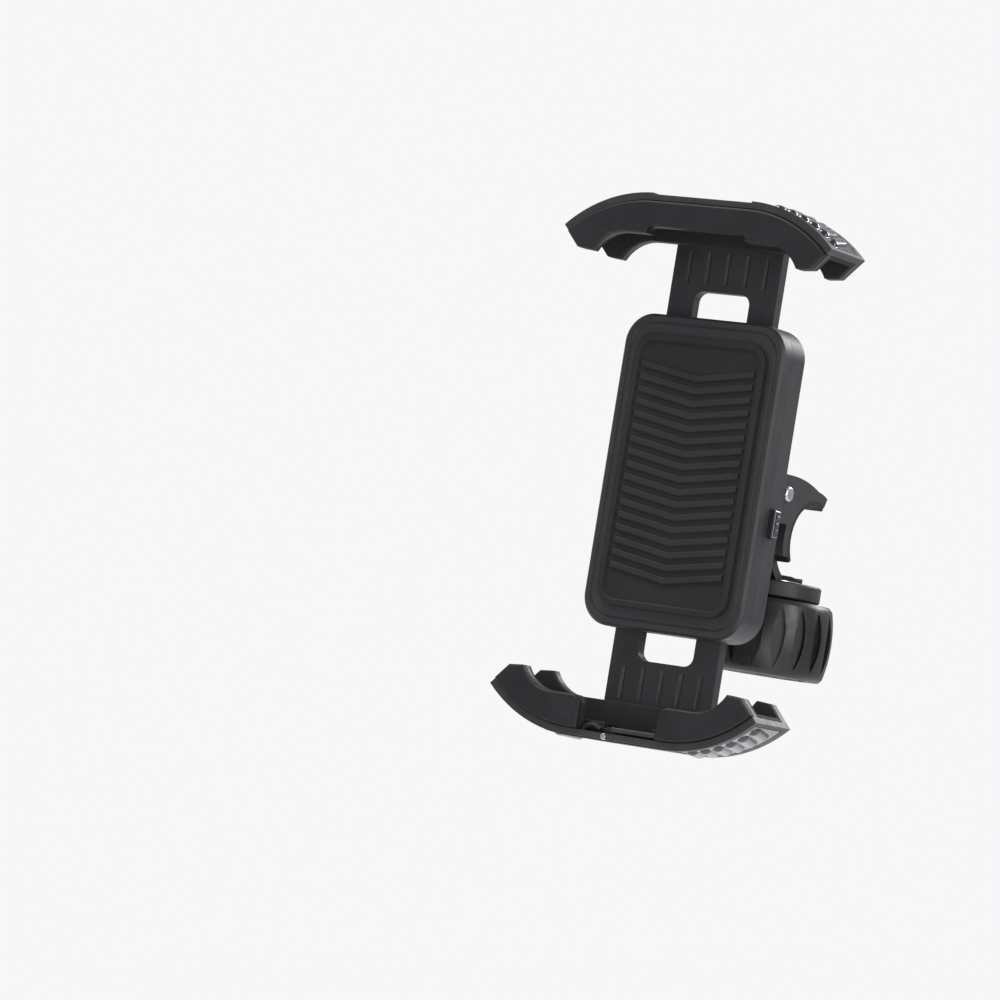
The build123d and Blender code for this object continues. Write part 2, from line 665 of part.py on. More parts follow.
def bow_band(outer, inner):
    """The jaw's outer wall in (x, z), between two depths below the outer face."""
    edges = []
    for inset in (outer, inner):
        top = JAW_HALF - inset
        mid = bow_point(inset, BOW_END / 2)
        end = bow_point(inset, BOW_END)
        edges.append(Line((-BOW_FLAT, top), (BOW_FLAT, top)))
        edges.append(ThreePointArc((BOW_FLAT, top), mid, end))
        edges.append(ThreePointArc((-BOW_FLAT, top), flip(mid), flip(end)))
    a = bow_point(outer, BOW_END)
    b = bow_point(inner, BOW_END)
    edges.append(Line(a, b))
    edges.append(Line(flip(a), flip(b)))
    return make_face(edges)


def grip_band(outer, inner, from_deg, to_deg):
    mid_deg = (from_deg + to_deg) / 2
    return make_face([
        ThreePointArc(*[bow_point(outer, a) for a in (from_deg, mid_deg, to_deg)]),
        Line(bow_point(outer, to_deg), bow_point(inner, to_deg)),
        ThreePointArc(*[bow_point(inner, a) for a in (to_deg, mid_deg, from_deg)]),
        Line(bow_point(inner, from_deg), bow_point(outer, from_deg)),
    ])


def lip_face(inset):
    """The lip's whole outline in (x, z): the bow outside, the phone's window inside."""
    top = JAW_HALF - inset
    mid = bow_point(inset, BOW_END / 2)
    corner = bow_point(inset, BOW_END)
    toe = bow_point(END_LEN, BOW_END)
    tip = (tip_x, tip_z)
    flat = (lip_flat, JAW_HALF - LIP)
    run = tip_x - lip_flat
    fall = flat[1] - tip_z
    r = (run ** 2 + fall ** 2) / (2 * fall)
    half_turn = 0.5 * (pi / 2 - acos(run / r))
    inner_mid = (lip_flat + r * sin(half_turn), flat[1] - r + r * cos(half_turn))
    right = [
        ThreePointArc((BOW_FLAT, top), mid, corner),
        Line(corner, toe),
        Line(toe, tip),
        ThreePointArc(tip, inner_mid, flat),
    ]
    left = [
        ThreePointArc((-BOW_FLAT, top), flip(mid), flip(corner)),
        Line(flip(corner), flip(toe)),
        Line(flip(toe), flip(tip)),
        ThreePointArc(flip(tip), flip(inner_mid), flip(flat)),
    ]
    joins = [Line((-BOW_FLAT, top), (BOW_FLAT, top)), Line(flip(flat), flat)]
    return make_face(right + left + joins)


def notched(face):
    window = Pos(0, JAW_HALF - LIP) * RectangleRounded(2 * NOTCH_HALF, 2 * NOTCH, 1.5)
    return face - window


def parted(face, half):
    """The lip with a gap in its middle, the lip's two free corners rounded."""
    edge = JAW_HALF - LIP
    face -= Pos(0, edge) * Rectangle(2 * half, 4 * LIP)
    corner = Pos((LIP_CORNER - 1) / 2, (LIP_CORNER - 1) / 2) * Rectangle(LIP_CORNER + 1, LIP_CORNER + 1)
    corner -= Pos(LIP_CORNER, LIP_CORNER) * Circle(LIP_CORNER)
    face -= Pos(half, edge) * corner
    return face - Pos(-half, edge) * mirror(corner, Plane.YZ)


def lip_screw_points():
    points = []
    for x in lip_screw_at:
        drop = (SHELL_WALL + LIP) / 2 + (0.0 if x == lip_screw_at[0] else 2.6)
        points += [(x, JAW_HALF - drop), (-x, JAW_HALF - drop)]
    return points


def drill_lips(shape, d, y0, y1):
    for x, z in lip_screw_points():
        shape -= rod_y(d / 2, x, z, y0, y1)
    return shape


def grip_pockets(shape):
    pocket = slab(grip_band(-3, GRIP_DEPTH, GRIP_FROM, GRIP_TO), *grip_y)
    for cut in both_sides(pocket):
        shape -= cut
    return shape


def jaw_shell(front_face):
    shell = slab(bow_band(0, SHELL_WALL), jaw_front + RIM_BACK, jaw_back)
    shell += slab(lip_face(0), back_lip_front, jaw_back)
    shell += slab(front_face, lip_back, frame_back)
    shell = grip_pockets(shell)
    step_y = (jaw_front, jaw_front + RIM_BACK + RIM_STEP_Y)
    shell -= block((-NOTCH_HALF, NOTCH_HALF), step_y, (JAW_HALF - RIM_STEP, JAW_HALF + 1))
    shell = drill_lips(shell, LIP_SCREW_D, lip_back - 1, frame_back + 1)
    for x in (-jaw_screw_x, jaw_screw_x):
        shell -= rod_y(JAW_SCREW_D / 2, x, jaw_screw_z, back_lip_front - 1, jaw_back + 1)
    return shell


def lip_plate(face):
    plate = slab(face, jaw_front, lip_back)
    rim = [e for e in plate.edges() if abs(e.center().Y - jaw_front) < 0.01]
    plate = chamfer(rim, 0.5)
    return drill_lips(plate, LIP_SCREW_D, lip_back - 1.2, lip_back + 1)


def jaw_liner(front_face):
    front = slab(front_face & lip_face(SHELL_WALL), frame_back, frame_back + LINER_T)
    front = drill_lips(front, 2 * LIP_SCREW_D + 0.4, frame_back - 1, frame_back + LINER_T + 1)
    back = slab(lip_face(SHELL_WALL), back_lip_front - LINER_T, back_lip_front)
    floor = slab(bow_band(SHELL_WALL, SHELL_WALL + LINER_FLOOR), frame_back, back_lip_front)
    liner = front + back + floor
    under = JAW_HALF - SHELL_WALL - LINER_FLOOR
    bump = block((8, 20), (frame_back + 3, back_lip_front - 3), (under - BUMP_H, under + 0.5))
    for piece in both_sides(bump):
        liner += piece
    return liner


def jaw_grip():
    """The right-hand finger grip of the upper jaw: a curved panel with slanted ribs."""
    panel = slab(grip_band(0.1, GRIP_DEPTH, GRIP_FROM + 0.4, GRIP_TO - 0.4), grip_y[0] + FIT, grip_y[1] - FIT)
    length = grip_y[1] - grip_y[0] - 3.4
    mid_y = (grip_y[0] + grip_y[1]) / 2
    step = (GRIP_TO - GRIP_FROM - 2 * GRIP_RIB_END) / (RIB_COUNT - 1)
    for rib in range(RIB_COUNT):
        angle = GRIP_FROM + GRIP_RIB_END + rib * step
        x, z = bow_point(RIB_SINK, angle)
        bar = Rot(Z=RIB_TILT) * Rot(X=90) * Cylinder(RIB_R, length)
        bar = fillet(bar.edges().filter_by(GeomType.CIRCLE), RIB_R * 0.7)
        panel += Pos(x, mid_y, z) * Rot(Y=angle) * bar
    skin = slab(grip_band(-4, GRIP_DEPTH, GRIP_FROM - 4, GRIP_TO + 4), grip_y[0] - 4, grip_y[1] + 4)
    return panel & skin


def jaw_screws():
    screws = []
    for x in (-jaw_screw_x, jaw_screw_x):
        seat = arm_back - JAW_HEAD_H - FIT
        shank = rod_y(JAW_SCREW_D / 2, x, jaw_screw_z, back_lip_front, seat)
        screws.append(shank + rod_y(JAW_HEAD_D / 2, x, jaw_screw_z, seat, seat + JAW_HEAD_H))
    return screws


def lip_screws():
    screws = []
    for x, z in lip_screw_points():
        shank = rod_y(LIP_SCREW_D / 2, x, z, lip_back - 1.1, frame_back)
        screws.append(shank + rod_y(LIP_SCREW_D, x, z, frame_back, frame_back + LINER_T - 0.3))
    return screws


def build():
    parts["clamp_body"] = clamp_body()
    parts["clamp_rubber"] = clamp_rubber()
    parts["thread_bush"] = thread_bush()
    parts["pressing_screw"] = pressing_screw()
    parts["pressing_plate"] = pressing_plate()
    parts["plate_rubber"] = plate_rubber()
    parts["knob"] = knob()
    parts["knob_core"] = knob_core()
    parts["knob_cap"] = knob_cap()
    parts["ball_stem"] = ball_stem()
    parts["neck_pin"] = neck_pin()
    parts["friction_ring"] = friction_ring()
    parts["friction_cup"] = friction_cup()
    parts["locking_ring"] = locking_ring()
    parts["front_cover"] = front_cover()
    parts["back_cover"] = back_cover()
    parts["front_pad"] = front_pad()
    parts["case_screws"] = case_screws()
    parts["pinion"] = pinion()
    parts["pinion_pin"] = pinion_pin()
    parts["release_button"] = release_button()
    parts["brake_lever"] = brake_lever()
    parts["lever_pin"] = lever_pin()
    parts["lever_spring"] = lever_spring()

    whole = lip_face(0)
    upper_front = notched(whole)
    lower_front = parted(whole, PORT_HALF)
    upper_plate = notched(lip_face(SHELL_WALL + PLATE_GAP))
    lower_plates = lip_plate(parted(lip_face(SHELL_WALL + PLATE_GAP), PORT_HALF)).solids().sort_by(Axis.X)
    arm = slide_arm()
    spring = jaw_spring()
    grips = both_sides(jaw_grip())
    screws = jaw_screws()
    small_screws = lip_screws()

    upper = {
        "upper_arm": arm,
        "upper_jaw_shell": jaw_shell(upper_front),
        "upper_lip_plate": lip_plate(upper_plate),
        "upper_liner": jaw_liner(upper_front),
        "upper_grip_right": grips[0],
        "upper_grip_left": grips[1],
        "upper_jaw_screws": screws,
        "upper_lip_screws": small_screws,
        "upper_spring": spring,
    }
    lower = {
        "lower_arm": arm,
        "lower_jaw_shell": jaw_shell(lower_front),
        "lower_lip_plate_left": lower_plates[1],
        "lower_lip_plate_right": lower_plates[0],
        "lower_liner": jaw_liner(lower_front),
        "lower_grip_right": grips[1],
        "lower_grip_left": grips[0],
        "lower_jaw_screws": screws,
        "lower_lip_screws": small_screws,
        "lower_spring": spring,
    }
    for name, shape in upper.items():
        group = shape if isinstance(shape, list) else [shape]
        parts[name] = [raise_to_casing(piece) for piece in group]
    for name, shape in lower.items():
        group = shape if isinstance(shape, list) else [shape]
        parts[name] = [raise_to_casing(lower_of(piece)) for piece in group]


build()
os.makedirs("parts", exist_ok=True)
for name, shape in parts.items():
    if isinstance(shape, list) and len(shape) == 1:
        shape = shape[0]
    if isinstance(shape, list):
        shape = Compound(children=[piece.solid() for piece in shape])
    export_step(shape, "parts/" + name + ".step")
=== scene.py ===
import json
from math import cos, pi, radians, sin

import bpy
from mathutils import Matrix, Vector

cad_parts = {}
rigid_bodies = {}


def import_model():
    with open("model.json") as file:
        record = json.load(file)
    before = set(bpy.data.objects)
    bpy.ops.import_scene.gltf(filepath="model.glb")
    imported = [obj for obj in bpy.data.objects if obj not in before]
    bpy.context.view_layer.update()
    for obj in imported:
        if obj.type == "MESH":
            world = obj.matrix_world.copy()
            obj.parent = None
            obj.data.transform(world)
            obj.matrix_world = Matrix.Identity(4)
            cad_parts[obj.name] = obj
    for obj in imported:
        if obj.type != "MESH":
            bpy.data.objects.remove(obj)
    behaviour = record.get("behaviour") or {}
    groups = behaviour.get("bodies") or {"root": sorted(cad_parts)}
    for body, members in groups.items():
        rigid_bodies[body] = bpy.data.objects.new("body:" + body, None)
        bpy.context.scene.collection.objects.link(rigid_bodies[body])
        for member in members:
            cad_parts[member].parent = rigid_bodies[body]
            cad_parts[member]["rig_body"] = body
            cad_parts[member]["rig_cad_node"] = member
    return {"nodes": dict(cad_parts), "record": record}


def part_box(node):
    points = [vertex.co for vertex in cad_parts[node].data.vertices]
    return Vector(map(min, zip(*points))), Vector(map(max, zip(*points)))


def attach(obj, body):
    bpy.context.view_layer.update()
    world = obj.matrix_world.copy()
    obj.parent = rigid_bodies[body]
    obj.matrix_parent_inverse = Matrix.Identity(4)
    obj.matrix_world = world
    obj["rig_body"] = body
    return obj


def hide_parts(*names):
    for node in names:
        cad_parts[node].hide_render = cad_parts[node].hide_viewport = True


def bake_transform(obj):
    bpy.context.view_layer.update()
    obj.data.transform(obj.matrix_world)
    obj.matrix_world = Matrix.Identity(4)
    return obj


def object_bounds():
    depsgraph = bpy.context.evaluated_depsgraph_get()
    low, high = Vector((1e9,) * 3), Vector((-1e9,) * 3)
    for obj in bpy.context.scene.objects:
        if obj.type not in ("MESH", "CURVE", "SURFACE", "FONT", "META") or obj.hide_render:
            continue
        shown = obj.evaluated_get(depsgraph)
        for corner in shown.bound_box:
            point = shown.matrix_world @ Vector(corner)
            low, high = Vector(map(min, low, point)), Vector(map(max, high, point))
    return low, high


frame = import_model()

cad_low, cad_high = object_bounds()
MM = 0.001
nodes = frame["nodes"]
body_of_node = {n: b for b, members in frame["record"]["behaviour"]["bodies"].items() for n in members}
slot_of_node = {s["node"]: s["material_slot"] for s in frame["record"]["subparts"]}


# ---------------- small helpers ----------------
def let_go():
    if bpy.context.object and bpy.context.object.mode != "OBJECT":
        bpy.ops.object.mode_set(mode="OBJECT")
    bpy.ops.object.select_all(action="DESELECT")


def pick_up(piece):
    let_go()
    piece.select_set(True)
    bpy.context.view_layer.objects.active = piece


def settle(piece):
    """Puts the place, turn and size into the mesh."""
    pick_up(piece)
    bpy.ops.object.transform_apply(location=True, rotation=True, scale=True)


def shape(piece):
    pick_up(piece)
    bpy.ops.object.mode_set(mode="EDIT")


def choose(piece, what, test):
    """Selects the faces, edges or vertices that pass a test, in edit mode."""
    bpy.ops.mesh.select_mode(type=what)
    bpy.ops.mesh.select_all(action="DESELECT")
    bpy.ops.object.mode_set(mode="OBJECT")
    mesh = piece.data
    items = {"FACE": mesh.polygons, "EDGE": mesh.edges, "VERT": mesh.vertices}[what]
    for item in items:
        item.select = test(item)
    bpy.ops.object.mode_set(mode="EDIT")


def apply_all(piece):
    pick_up(piece)
    for modifier in list(piece.modifiers):
        bpy.ops.object.modifier_apply(modifier=modifier.name)


def smooth(piece, degrees=32):
    pick_up(piece)
    bpy.ops.object.shade_smooth_by_angle(angle=radians(degrees))


def round_edges(piece, width, segments=2, degrees=32):
    bevel = piece.modifiers.new("round", "BEVEL")
    bevel.width = width
    bevel.segments = segments
    bevel.limit_method = "ANGLE"
    bevel.angle_limit = radians(degrees)
    bevel.use_clamp_overlap = True
    apply_all(piece)


def even_shading(piece, degrees=32):
    """Smooth over shallow edges, with flat faces kept flat."""
    smooth(piece, degrees)
    even = piece.modifiers.new("even_shading", "WEIGHTED_NORMAL")
    even.keep_sharp = True
    even.weight = 80
    apply_all(piece)


def recalculate(piece):
    shape(piece)
    bpy.ops.mesh.select_all(action="SELECT")
    bpy.ops.mesh.normals_make_consistent(inside=False)
    let_go()


def finish_piece(piece, name, body, material, degrees=32):
    piece.name = name
    piece.data.name = name
    piece.data.materials.clear()
    piece.data.materials.append(material)
    even_shading(piece, degrees)
    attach(piece, body)
    return piece


def twin(piece, move=(0, 0, 0), turn=None):
    """A copy with its own mesh, moved or turned within the mesh."""
    other = piece.copy()
    other.data = piece.data.copy()
    bpy.context.scene.collection.objects.link(other)
    if turn is not None:
        other.data.transform(turn)
    other.data.transform(Matrix.Translation(move))
    return other


def join(pieces):
    let_go()
    for piece in pieces:
        piece.select_set(True)
    bpy.context.view_layer.objects.active = pieces[0]
    if len(pieces) > 1:
        bpy.ops.object.join()
    return pieces[0]


def bar(low, high, width, segments=3):
    """A block between two corners, with rounded edges."""
    let_go()
    middle = [(a + b) / 2 for a, b in zip(low, high)]
    bpy.ops.mesh.primitive_cube_add(size=1, location=middle)
    piece = bpy.context.object
    piece.scale = [b - a for a, b in zip(low, high)]
    settle(piece)
    shape(piece)
    bpy.ops.mesh.select_all(action="SELECT")
    bpy.ops.mesh.bevel(offset=width, segments=segments, affect="EDGES")
    let_go()
    return piece


def cut(piece, tool):
    """Takes the tool's shape out of a piece."""
    boolean = piece.modifiers.new("cut", "BOOLEAN")
    boolean.operation = "DIFFERENCE"
    boolean.solver = "EXACT"
    boolean.object = tool
    apply_all(piece)
    bpy.data.objects.remove(tool)


# ---------------- finishes ----------------
def new_finish(name):
    material = bpy.data.materials.new(name)
    material.use_nodes = True
    tree = material.node_tree
    return material, tree, tree.nodes["Principled BSDF"]


def pattern(tree, size, detail=3.0, stretch=(1, 1, 1), roughness=0.6):
    """Noise whose features are about `size` metres across."""
    place = tree.nodes.new("ShaderNodeTexCoord")
    mapping = tree.nodes.new("ShaderNodeMapping")
    mapping.inputs["Scale"].default_value = stretch
    noise = tree.nodes.new("ShaderNodeTexNoise")
    noise.inputs["Scale"].default_value = 1.0 / size
    noise.inputs["Detail"].default_value = detail
    noise.inputs["Roughness"].default_value = roughness
    tree.links.new(place.outputs["Object"], mapping.inputs["Vector"])
    tree.links.new(mapping.outputs["Vector"], noise.inputs["Vector"])
    return noise.outputs["Fac"]


def spread(tree, value, low_in, high_in, low, high):
    """Maps a value range to another one."""
    node = tree.nodes.new("ShaderNodeMapRange")
    node.inputs["From Min"].default_value = low_in
    node.inputs["From Max"].default_value = high_in
    node.inputs["To Min"].default_value = low
    node.inputs["To Max"].default_value = high
    tree.links.new(value, node.inputs["Value"])
    return node.outputs["Result"]


def blend_colour(tree, factor, first, second):
    node = tree.nodes.new("ShaderNodeMix")
    node.data_type = "RGBA"
    tree.links.new(factor, node.inputs["Factor"])
    for socket, colour in ((node.inputs[6], first), (node.inputs[7], second)):
        if isinstance(colour, tuple):
            socket.default_value = (*colour, 1.0)
        else:
            tree.links.new(colour, socket)
    return node.outputs[2]


def relief(tree, bsdf, heights):
    """Stacks fine surface reliefs, each a (height, depth in metres, strength)."""
    last = None
    for height, depth, strength in heights:
        bump = tree.nodes.new("ShaderNodeBump")
        bump.inputs["Distance"].default_value = depth
        bump.inputs["Strength"].default_value = strength
        tree.links.new(height, bump.inputs["Height"])
        if last is not None:
            tree.links.new(last, bump.inputs["Normal"])
        last = bump.outputs["Normal"]
    tree.links.new(last, bsdf.inputs["Normal"])


def moulded(name, colour, rough, grain=0.25, depth=0.02, wear=0.22, spread_rough=0.06, level=0.5, coat=0.0):
    """Moulded plastic or rubber: fine spark grain, soft flow marks, paler rubbed edges."""
    material, tree, bsdf = new_finish(name)
    flow = spread(tree, pattern(tree, 14 * MM, 4), 0.3, 0.7, 0, 1)
    dark = tuple(c * 0.82 for c in colour)
    light = tuple(min(1, c * 1.2 + 0.001) for c in colour)
    tone = blend_colour(tree, flow, dark, light)
    edges = tree.nodes.new("ShaderNodeNewGeometry").outputs["Pointiness"]
    rubbed = spread(tree, edges, 0.515, 0.60, 0, wear)
    scuffs = spread(tree, pattern(tree, 1.6 * MM, 6, roughness=0.75), 0.40, 0.65, 0.35, 1)
    product = tree.nodes.new("ShaderNodeMath")
    product.operation = "MULTIPLY"
    tree.links.new(rubbed, product.inputs[0])
    tree.links.new(scuffs, product.inputs[1])
    pale = tuple(min(1, c * 2.6 + 0.012) for c in colour)
    tree.links.new(blend_colour(tree, product.outputs[0], tone, pale), bsdf.inputs["Base Color"])
    mottling = pattern(tree, 3.5 * MM, 5)
    rough_map = spread(tree, mottling, 0.3, 0.7, rough - spread_rough, rough + spread_rough)
    tree.links.new(rough_map, bsdf.inputs["Roughness"])
    fine = pattern(tree, grain * MM, 2, roughness=0.5)
    relief(tree, bsdf, [(flow, 0.05 * MM, 0.25), (fine, depth * MM, 0.9)])
    bsdf.inputs["Specular IOR Level"].default_value = level
    if coat:
        bsdf.inputs["Coat Weight"].default_value = coat
        bsdf.inputs["Coat Roughness"].default_value = 0.08
    return material


def metal(name, colour, rough, stretch, depth=0.01):
    """Turned, drawn or plated metal with fine lines one way and small stains."""
    material, tree, bsdf = new_finish(name)
    stains = spread(tree, pattern(tree, 2.2 * MM, 5), 0.35, 0.7, 0, 1)
    dull = tuple(c * 0.72 for c in colour)
    tree.links.new(blend_colour(tree, stains, dull, colour), bsdf.inputs["Base Color"])
    lines = pattern(tree, 0.35 * MM, 4, stretch)
    tree.links.new(spread(tree, lines, 0.3, 0.7, rough - 0.08, rough + 0.12), bsdf.inputs["Roughness"])
    bsdf.inputs["Metallic"].default_value = 1.0
    relief(tree, bsdf, [(lines, depth * MM, 0.6)])
    return material


FINISH = {
    "body_nylon": moulded("graphite_nylon", (0.0155, 0.0155, 0.0168), 0.47, level=0.4),
    # lip_nylon: partly the lip plates' own darker soft-touch finish, partly painted shade that dims their
    # front faces as a light from above would.
    "lip_nylon": moulded("lip_nylon", (0.0095, 0.0095, 0.0106), 0.6, grain=0.2, depth=0.014, level=0.22),
    "arm_nylon": moulded("filled_nylon", (0.013, 0.013, 0.014), 0.42, grain=0.5, depth=0.015, level=0.45),
    # knob_nylon: partly the knob's own darker nylon, partly painted shadow standing for the shade a held
    # phone casts on the knob.
    "knob_nylon": moulded("knob_nylon", (0.0085, 0.0085, 0.0092), 0.36, grain=0.3, depth=0.012, wear=0.3,
                          level=0.4),
    "rubber": moulded("black_rubber", (0.0075, 0.0075, 0.008), 0.74, grain=0.18, depth=0.03, wear=0.3,
                      level=0.3),
    "gloss_black": moulded("gloss_black", (0.008, 0.008, 0.009), 0.16, grain=1.2, depth=0.004, wear=0.3,
                           spread_rough=0.03, coat=0.6),
    "zinc_steel": metal("zinc_plate", (0.62, 0.63, 0.65), 0.30, (1, 1, 1)),
    "spring_steel": metal("spring_wire", (0.55, 0.55, 0.57), 0.24, (1, 1, 0.2)),
    "brass": metal("turned_brass", (0.78, 0.60, 0.28), 0.28, (0.2, 0.2, 3)),
    "acetal": moulded("white_acetal", (0.62, 0.62, 0.59), 0.38, grain=0.6, depth=0.006, wear=0.1),
}


# ---------------- moulded and turned pieces with rounded edges ----------------
ROUNDED = {
    "clamp_body": 0.7, "clamp_rubber": 0.35, "plate_rubber": 0.25, "pressing_plate": 0.2,
    "thread_bush": 0.2, "pressing_screw": 0.3, "knob": 0.35, "knob_core": 0.3, "knob_cap": 0.3,
    "ball_stem": 0.45, "neck_pin": 0.2, "friction_ring": 0.15, "friction_cup": 0.15,
    "locking_ring": 0.45, "front_cover": 0.4, "back_cover": 0.4, "pinion": 0.12, "pinion_pin": 0.3,
    "release_button": 0.3, "brake_lever": 0.2, "lever_pin": 0.3,
    "upper_arm": 0.3, "lower_arm": 0.3,
    "upper_jaw_shell": 0.45, "lower_jaw_shell": 0.45,
    "upper_lip_plate": 0.35, "lower_lip_plate_left": 0.35, "lower_lip_plate_right": 0.35,
    "upper_liner": 0.35, "lower_liner": 0.35,
    "upper_grip_right": 0.25, "upper_grip_left": 0.25, "lower_grip_right": 0.25, "lower_grip_left": 0.25,
}


def clean_copy(node):
    """The node's own shape as one joined mesh with whole faces, ready for edge work."""
    piece = nodes[node].copy()
    piece.data = nodes[node].data.copy()
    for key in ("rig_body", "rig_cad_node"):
        if key in piece:
            del piece[key]
    piece.parent = None
    piece.matrix_world = Matrix.Identity(4)
    bpy.context.scene.collection.objects.link(piece)
    shape(piece)
    bpy.ops.mesh.select_all(action="SELECT")
    bpy.ops.mesh.remove_doubles(threshold=0.002 * MM)
    bpy.ops.mesh.dissolve_limited(angle_limit=radians(0.6))
    let_go()
    return piece


def rounded_node(node, width):
    piece = clean_copy(node)
    round_edges(piece, width * MM, 2)
    slot = slot_of_node[node]
    finish_piece(piece, node + "_finished", body_of_node[node], FINISH[slot])
    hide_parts(node)
    return piece


finished = {}
for node, width in ROUNDED.items():
    finished[node] = rounded_node(node, width)
for node, cad in nodes.items():
    cad.data.materials.clear()
    cad.data.materials.append(FINISH[slot_of_node[node]])


def piece_boxes(node):
    """The lowest and highest corner of each separate solid in a node."""
    others = set(bpy.context.scene.objects)
    piece = nodes[node].copy()
    piece.data = nodes[node].data.copy()
    piece.parent = None
    piece.matrix_world = Matrix.Identity(4)
    bpy.context.scene.collection.objects.link(piece)
    shape(piece)
    bpy.ops.mesh.select_all(action="SELECT")
    bpy.ops.mesh.remove_doubles(threshold=0.002 * MM)
    bpy.ops.mesh.separate(type="LOOSE")
    let_go()
    found = []
    for part in set(bpy.context.scene.objects) - others:
        corners = [v.co for v in part.data.vertices]
        low = Vector([min(c[i] for c in corners) for i in range(3)])
        high = Vector([max(c[i] for c in corners) for i in range(3)])
        found.append((low, high))
        bpy.data.objects.remove(part)
    return sorted(found, key=lambda pair: (round(pair[0].x, 4), round(pair[0].z, 4)))


# ---------------- screws ----------------
def cross_screw(head_r, head_h, shank_r, length):
    """A pan head with a cross recess, its seat at the origin and its head towards +Y."""
    let_go()
    bpy.ops.mesh.primitive_cylinder_add(vertices=40, radius=head_r, depth=head_h, rotation=(pi / 2, 0, 0),
                                        location=(0, head_h / 2, 0))
    head = bpy.context.object
    settle(head)
    shape(head)
    choose(head, "FACE", lambda f: f.normal.y > 0.9)
    bpy.ops.mesh.inset(thickness=head_r * 0.18)
    let_go()
    round_edges(head, head_h * 0.32, 4)
    recess = head_h * 0.6
    arms = []
    for size in ((head_r * 0.52, head_r * 0.13), (head_r * 0.13, head_r * 0.52)):
        let_go()
        bpy.ops.mesh.primitive_cube_add(size=2, location=(0, head_h, 0))
        arm = bpy.context.object
        arm.scale = (size[0], recess, size[1])
        settle(arm)
        shape(arm)
        choose(arm, "FACE", lambda f: f.normal.y < -0.9)
        bpy.ops.transform.resize(value=(0.72, 1, 0.72), center_override=(0, head_h - recess, 0))
        let_go()
        arms.append(arm)
    for arm in arms:
        cut(head, arm)
    bpy.ops.mesh.primitive_cylinder_add(vertices=24, radius=shank_r, depth=length, rotation=(pi / 2, 0, 0),
                                        location=(0, -length / 2, 0))
    shank = bpy.context.object
    settle(shank)
    return join([head, shank])


def fit_screws(node, shank_r, head_faces=1):
    """A screw at each of the node's solids. head_faces is +1 for heads that look back, -1 for front."""
    boxes = piece_boxes(node)
    first_low, first_high = boxes[0]
    head_r = (first_high.x - first_low.x) / 2
    total = first_high.y - first_low.y
    head_h = HEAD_HEIGHT[node.split("_", 1)[1] if node.startswith(("upper", "lower")) else node]
    model = cross_screw(head_r, head_h, shank_r, total - head_h)
    turn = Matrix.Identity(4) if head_faces > 0 else Matrix.Rotation(pi, 4, "Z")
    for number, (low, high) in enumerate(boxes, 1):
        seat = high.y - head_h if head_faces > 0 else low.y + head_h
        spin = Matrix.Rotation(0.7 * number, 4, "Y")
        screw = twin(model, ((low.x + high.x) / 2, seat, (low.z + high.z) / 2), turn @ spin)
        finish_piece(screw, node + "_%d" % number, body_of_node[node], FINISH["zinc_steel"])
        if number == 1:
            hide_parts(node)
    bpy.data.objects.remove(model)


HEAD_HEIGHT = {"case_screws": 1.4 * MM, "jaw_screws": 1.3 * MM, "lip_screws": 0.9 * MM}
fit_screws("case_screws", 1.5 * MM)
for side in ("upper", "lower"):
    fit_screws(side + "_jaw_screws", 1.5 * MM)
    fit_screws(side + "_lip_screws", 1.0 * MM)


# ---------------- springs ----------------
def wire(points, radius, name, closed=False):
    """A round wire along points, as a closed mesh."""
    line = bpy.data.curves.new(name, "CURVE")
    line.dimensions = "3D"
    line.bevel_depth = radius
    line.bevel_resolution = 2
    line.use_fill_caps = True
    spline = line.splines.new("POLY")
    spline.points.add(len(points) - 1)
    for point, place in zip(spline.points, points):
        point.co = (*place, 1)
    spline.use_cyclic_u = closed
    piece = bpy.data.objects.new(name, line)
    bpy.context.scene.collection.objects.link(piece)
    pick_up(piece)
    bpy.ops.object.convert(target="MESH")
    return bpy.context.object


def closing_spring(node, jaw):
    """An extension spring between the casing's post and the arm's post, with an eye at each end."""
    low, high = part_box(node)
    eye_r = (high.x - low.x) / 2 - 0.3 * MM
    coil_r = 1.35 * MM
    x, y = (low.x + high.x) / 2, (low.y + high.y) / 2
    far, near = low.z + eye_r + 0.3 * MM, high.z - eye_r - 0.3 * MM
    points = []
    for step in range(22):
        a = -pi / 2 - step / 21 * 1.75 * pi
        points.append((x + eye_r * cos(a), y, far + eye_r * sin(a)))
    start, end = far + eye_r + 0.9 * MM, near - eye_r - 0.9 * MM
    turns = 13
    for step in range(turns * 16 + 1):
        a = 2 * pi * step / 16
        points.append((x + coil_r * cos(a), y + coil_r * sin(a), start + (end - start) * step / (turns * 16)))
    for step in range(22):
        a = -0.55 * pi + step / 21 * 1.75 * pi
        points.append((x + eye_r * cos(a), y, near + eye_r * sin(a)))
    spring = wire(points, 0.25 * MM, node + "_wire")
    spring.data.materials.clear()
    spring.data.materials.append(FINISH["spring_steel"])
    smooth(spring, 60)
    if jaw == "upper_jaw":
        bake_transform(spring)
    else:
        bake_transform(spring)
    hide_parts(node)


def torsion_spring(node):
    low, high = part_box(node)
    pin_low, pin_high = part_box("lever_pin")
    x, z = (pin_low.x + pin_high.x) / 2, (pin_low.z + pin_high.z) / 2
    coil_r = 2.5 * MM
    points = [(x + coil_r, low.y + 0.25 * MM, low.z)]
    for step in range(3 * 20 + 1):
        a = 2 * pi * step / 20
        y = low.y + 0.25 * MM + (high.y - low.y - 0.5 * MM) * step / 60
        points.append((x + coil_r * cos(a), y, z + coil_r * sin(a)))
    points.append((x + coil_r, high.y - 0.25 * MM, high.z))
    spring = wire(points, 0.2 * MM, node + "_wire")
    finish_piece(spring, node + "_wire", "casing", FINISH["spring_steel"], 60)
    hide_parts(node)


closing_spring("upper_spring", "upper_jaw")
closing_spring("lower_spring", "lower_jaw")
torsion_spring("lever_spring")


